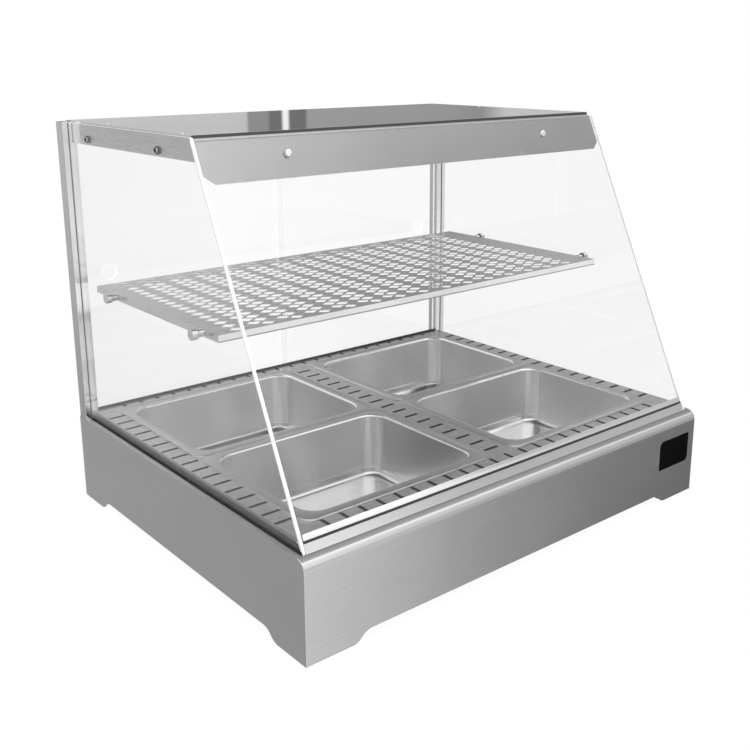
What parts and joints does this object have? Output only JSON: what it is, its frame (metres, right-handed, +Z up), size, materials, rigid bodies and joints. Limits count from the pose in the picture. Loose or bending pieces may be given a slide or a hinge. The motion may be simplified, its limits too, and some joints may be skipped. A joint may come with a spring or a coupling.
{
  "type": "heated display case",
  "caption": "Countertop heated display case: slotted deck with lift-out pans, pierced shelf, leaning front glass, side glasses and rear sliding glass doors.",
  "frame": {"origin": "centre of the footprint, on the surface that the case stands on", "axes": "+X to the right as the customer faces the case, +Y to the back, +Z up"},
  "size_m": [0.796, 0.642, 0.621],
  "materials": {
    "brushed_steel": "brushed stainless steel with a fine horizontal grain",
    "polished_steel": "bright polished stainless steel",
    "pan_steel": "satin drawn stainless steel",
    "clear_glass": "clear toughened glass with polished edges",
    "galvanised_steel": "dull galvanised sheet",
    "black_plastic": "matt black moulded plastic",
    "white_plastic": "matt white ceramic-like plastic",
    "amber_lens": "glossy amber lens",
    "lamp_glass": "frosted lamp glass",
    "element_sheath": "dark oxidised tube",
    "mineral_wool": "matt mineral wool",
    "rubber": "black rubber"
  },
  "bodies": {
    "root": {"base_front_panel": "brushed_steel", "base_left_panel": "brushed_steel", "base_right_panel": "brushed_steel", "base_rear_panel": "brushed_steel", "deck_plate": "brushed_steel", "canopy_left_side": "brushed_steel", "canopy_right_side": "brushed_steel", "canopy_front_flange": "brushed_steel", "canopy_top": "brushed_steel", "canopy_rear_rail": "brushed_steel", "left_post": "brushed_steel", "right_post": "brushed_steel", "control_bezel": "brushed_steel", "front_glass_channel": "polished_steel", "left_side_channel": "polished_steel", "right_side_channel": "polished_steel", "shelf_peg_front_left": "polished_steel", "shelf_peg_front_right": "polished_steel", "shelf_peg_rear_left": "polished_steel", "shelf_peg_rear_right": "polished_steel", "glass_screws": "polished_steel", "lamp_reflector": "polished_steel", "door_lower_track": "polished_steel", "door_upper_track": "polished_steel", "thermostat_sensor": "polished_steel", "left_side_glass": "clear_glass", "right_side_glass": "clear_glass", "front_glass": "clear_glass", "base_tray": "galvanised_steel", "heating_well": "galvanised_steel", "element_brackets": "galvanised_steel", "thermal_cutout": "galvanised_steel", "thermostat_body": "black_plastic", "main_switch_housing": "black_plastic", "lamp_switch_housing": "black_plastic", "cable_gland": "black_plastic", "lamp_holders": "white_plastic", "terminal_block": "white_plastic", "pilot_lamp": "amber_lens", "lamp_tube": "lamp_glass", "heating_element": "element_sheath", "insulation_blanket": "mineral_wool", "glass_spacers": "rubber"},
    "pan_front_left": {"pan_front_left": "pan_steel"},
    "pan_front_right": {"pan_front_right": "pan_steel"},
    "pan_rear_left": {"pan_rear_left": "pan_steel"},
    "pan_rear_right": {"pan_rear_right": "pan_steel"},
    "shelf": {"shelf": "brushed_steel"},
    "left_door": {"left_door": "clear_glass"},
    "right_door": {"right_door": "clear_glass"},
    "thermostat_knob": {"thermostat_knob": "black_plastic"},
    "main_switch_rocker": {"main_switch_rocker": "black_plastic"},
    "lamp_switch_rocker": {"lamp_switch_rocker": "black_plastic"}
  },
  "joints": [
    {"name": "left_door_slide", "type": "slide", "parent": "root", "child": "left_door", "axis": [1, 0, 0], "range_m": [0, 0.34]},
    {"name": "right_door_slide", "type": "slide", "parent": "root", "child": "right_door", "axis": [-1, 0, 0], "range_m": [0, 0.34]},
    {"name": "shelf_lift", "type": "slide", "parent": "root", "child": "shelf", "axis": [0, 0, 1], "range_m": [0, 0.05]},
    {"name": "pan_front_left_lift", "type": "slide", "parent": "root", "child": "pan_front_left", "axis": [0, 0, 1], "range_m": [0, 0.07]},
    {"name": "pan_front_right_lift", "type": "slide", "parent": "root", "child": "pan_front_right", "axis": [0, 0, 1], "range_m": [0, 0.07]},
    {"name": "pan_rear_left_lift", "type": "slide", "parent": "root", "child": "pan_rear_left", "axis": [0, 0, 1], "range_m": [0, 0.11]},
    {"name": "pan_rear_right_lift", "type": "slide", "parent": "root", "child": "pan_rear_right", "axis": [0, 0, 1], "range_m": [0, 0.11]},
    {"name": "thermostat_turn", "type": "hinge", "parent": "root", "child": "thermostat_knob", "pos_m": [-0.3, 0.301, 0.082], "axis": [0, 1, 0], "range_deg": [0, 270]},
    {"name": "main_switch_tip", "type": "hinge", "parent": "root", "child": "main_switch_rocker", "pos_m": [-0.243, 0.298, 0.082], "axis": [-1, 0, 0], "range_deg": [0, 20]},
    {"name": "lamp_switch_tip", "type": "hinge", "parent": "root", "child": "lamp_switch_rocker", "pos_m": [-0.208, 0.298, 0.082], "axis": [-1, 0, 0], "range_deg": [0, 20]}
  ]
}
